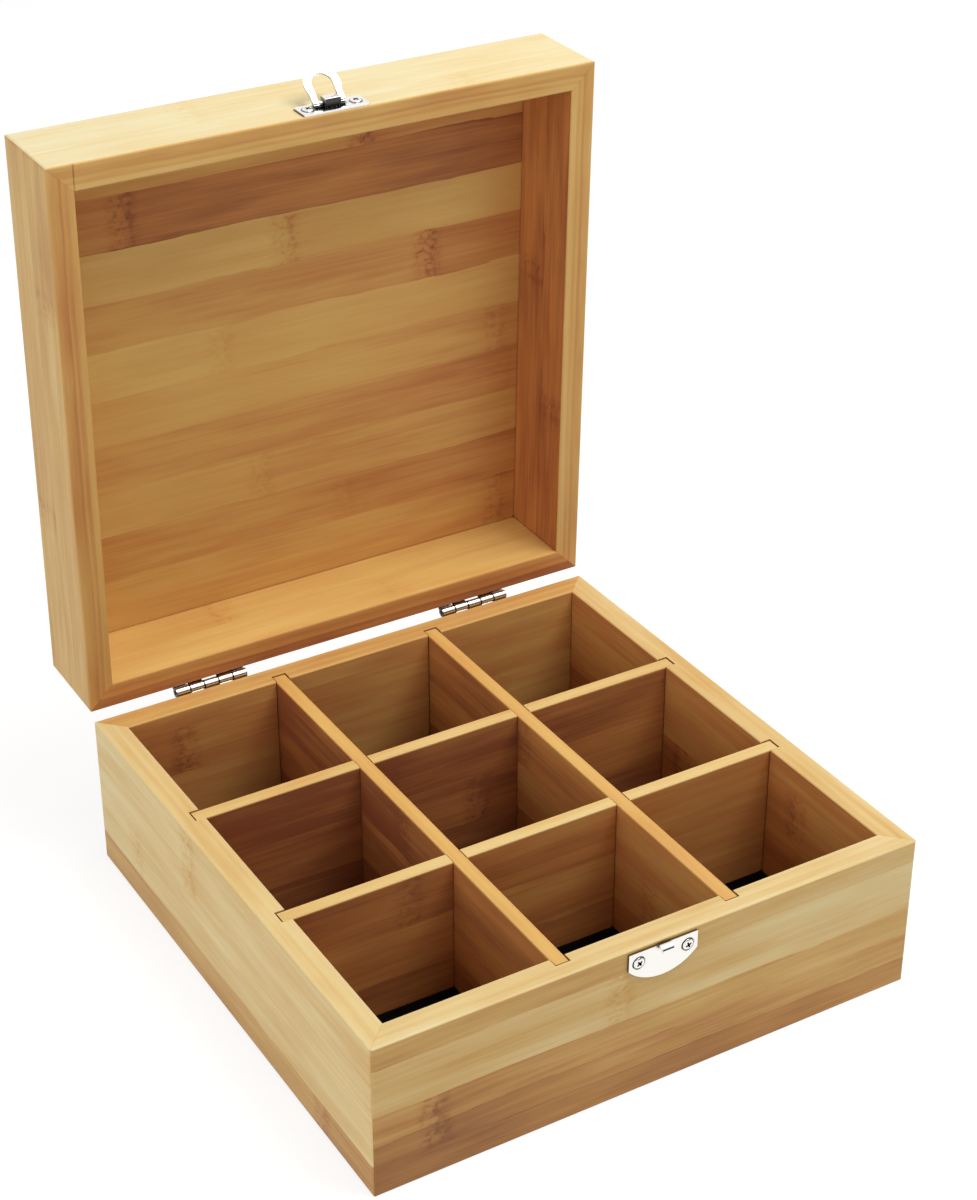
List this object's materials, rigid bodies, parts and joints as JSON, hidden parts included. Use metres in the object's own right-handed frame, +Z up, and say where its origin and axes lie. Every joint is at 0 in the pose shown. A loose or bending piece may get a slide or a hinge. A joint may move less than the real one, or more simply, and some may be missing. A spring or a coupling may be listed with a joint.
{
  "type": "tea bag organizer box",
  "caption": "Square bamboo box with a grid of cells for tea bags, a hinged lid held open by stop hinges, and a ring latch at the front.",
  "frame": {"origin": "middle of the base's underside", "axes": "+X to the right, +Y to the hinges at the back, +Z up; the front with the catch faces -Y"},
  "size_m": [0.24, 0.2883, 0.3244],
  "materials": {
    "bamboo": "laminated bamboo, sanded, clear matt lacquer",
    "bamboo_inner": "laminated bamboo, sanded, thin matt lacquer",
    "felt": "needled felt, matt",
    "nickel": "pressed steel sheet, bright nickel plating"
  },
  "bodies": {
    "base": {"base_front_wall": "bamboo", "base_back_wall": "bamboo", "base_left_wall": "bamboo", "base_right_wall": "bamboo", "base_bottom_panel": "bamboo_inner", "felt_liner": "felt", "long_divider_left": "bamboo_inner", "long_divider_right": "bamboo_inner", "cross_divider_front": "bamboo_inner", "cross_divider_rear": "bamboo_inner", "left_hinge_base_leaf": "nickel", "right_hinge_base_leaf": "nickel", "left_hinge_pin": "nickel", "right_hinge_pin": "nickel", "left_hinge_base_screws": "nickel", "right_hinge_base_screws": "nickel", "catch_plate": "nickel", "catch_screws": "nickel"},
    "lid": {"lid_front_wall": "bamboo", "lid_back_wall": "bamboo", "lid_left_wall": "bamboo", "lid_right_wall": "bamboo", "lid_panel": "bamboo_inner", "left_hinge_lid_leaf": "nickel", "right_hinge_lid_leaf": "nickel", "left_hinge_lid_screws": "nickel", "right_hinge_lid_screws": "nickel", "latch_plate": "nickel", "latch_screws": "nickel"},
    "latch": {"latch_ring": "nickel"}
  },
  "joints": [
    {"name": "lid_hinge", "type": "hinge", "parent": "base", "child": "lid", "pos_m": [0, 0.1227, 0.06815], "axis": [1, 0, 0], "range_deg": [0, 88.5]},
    {"name": "latch_swing", "type": "hinge", "parent": "lid", "child": "latch", "pos_m": [0.0007, 0.12264, 0.31313], "axis": [1, 0, 0], "range_deg": [0, 136.5]}
  ]
}
